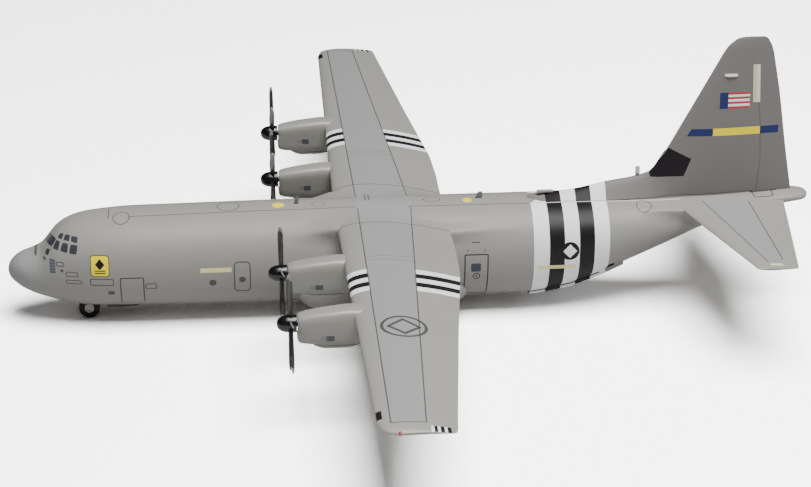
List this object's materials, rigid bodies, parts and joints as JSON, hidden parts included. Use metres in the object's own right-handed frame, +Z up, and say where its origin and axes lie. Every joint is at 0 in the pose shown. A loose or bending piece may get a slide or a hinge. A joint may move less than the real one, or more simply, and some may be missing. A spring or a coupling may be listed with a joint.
{
  "type": "display model of a turboprop military transport plane",
  "caption": "Small display model of a high-wing turboprop transport plane parked on its wheels, with propellers and wheels that turn freely.",
  "frame": {"origin": "on the ground below the middle of the model's length, on its centre plane", "axes": "-X towards the nose, +Y towards the starboard wing tip, +Z up"},
  "size_m": [0.1718, 0.2028, 0.0591],
  "materials": {
    "airframe_grey": "satin neutral grey paint with printed panel lines",
    "propeller_black": "glossy black spinner and satin blades",
    "tyre_black": "matt black rubber",
    "wheel_grey": "pale grey moulded hub",
    "gear_grey": "pale grey paint",
    "exhaust_dark": "dark sooty grey"
  },
  "bodies": {
    "airframe": {"fuselage": "airframe_grey", "fin": "airframe_grey", "wing_left": "airframe_grey", "wing_right": "airframe_grey", "tailplane_left": "airframe_grey", "tailplane_right": "airframe_grey", "sponson_left": "airframe_grey", "sponson_right": "airframe_grey", "nose_door_left": "gear_grey", "nose_door_right": "gear_grey", "antenna_front": "airframe_grey", "antenna_rear": "airframe_grey", "nacelle_1": "airframe_grey", "nacelle_2": "airframe_grey", "nacelle_3": "airframe_grey", "nacelle_4": "airframe_grey", "exhaust_1": "exhaust_dark", "exhaust_2": "exhaust_dark", "exhaust_3": "exhaust_dark", "exhaust_4": "exhaust_dark", "nose_leg": "gear_grey", "main_leg_left": "gear_grey", "main_leg_right": "gear_grey"},
    "propeller_one": {"propeller_1": "propeller_black"},
    "propeller_two": {"propeller_2": "propeller_black"},
    "propeller_three": {"propeller_3": "propeller_black"},
    "propeller_four": {"propeller_4": "propeller_black"},
    "nose_wheels": {"nose_axle": "wheel_grey", "nose_tyre_left": "tyre_black", "nose_tyre_right": "tyre_black"},
    "main_wheel_left_front": {"main_tyre_left_front": "tyre_black", "main_hub_left_front": "wheel_grey"},
    "main_wheel_left_rear": {"main_tyre_left_rear": "tyre_black", "main_hub_left_rear": "wheel_grey"},
    "main_wheel_right_front": {"main_tyre_right_front": "tyre_black", "main_hub_right_front": "wheel_grey"},
    "main_wheel_right_rear": {"main_tyre_right_rear": "tyre_black", "main_hub_right_rear": "wheel_grey"}
  },
  "joints": [
    {"name": "propeller_one_spin", "type": "hinge", "parent": "airframe", "child": "propeller_one", "pos_m": [-0.02792, -0.05085, 0.0207], "axis": [1, 0, 0], "continuous": true},
    {"name": "propeller_two_spin", "type": "hinge", "parent": "airframe", "child": "propeller_two", "pos_m": [-0.02873, -0.0252, 0.01965], "axis": [1, 0, 0], "continuous": true},
    {"name": "propeller_three_spin", "type": "hinge", "parent": "airframe", "child": "propeller_three", "pos_m": [-0.02873, 0.0252, 0.01965], "axis": [1, 0, 0], "continuous": true},
    {"name": "propeller_four_spin", "type": "hinge", "parent": "airframe", "child": "propeller_four", "pos_m": [-0.02792, 0.05085, 0.0207], "axis": [1, 0, 0], "continuous": true},
    {"name": "nose_wheels_roll", "type": "hinge", "parent": "airframe", "child": "nose_wheels", "pos_m": [-0.06922, 0, 0.00225], "axis": [0, 1, 0], "continuous": true},
    {"name": "main_left_front_roll", "type": "hinge", "parent": "airframe", "child": "main_wheel_left_front", "pos_m": [-0.01148, -0.01085, 0.0035], "axis": [0, 1, 0], "continuous": true},
    {"name": "main_left_rear_roll", "type": "hinge", "parent": "airframe", "child": "main_wheel_left_rear", "pos_m": [-0.00387, -0.01085, 0.0035], "axis": [0, 1, 0], "continuous": true},
    {"name": "main_right_front_roll", "type": "hinge", "parent": "airframe", "child": "main_wheel_right_front", "pos_m": [-0.01148, 0.01085, 0.0035], "axis": [0, 1, 0], "continuous": true},
    {"name": "main_right_rear_roll", "type": "hinge", "parent": "airframe", "child": "main_wheel_right_rear", "pos_m": [-0.00387, 0.01085, 0.0035], "axis": [0, 1, 0], "continuous": true}
  ]
}
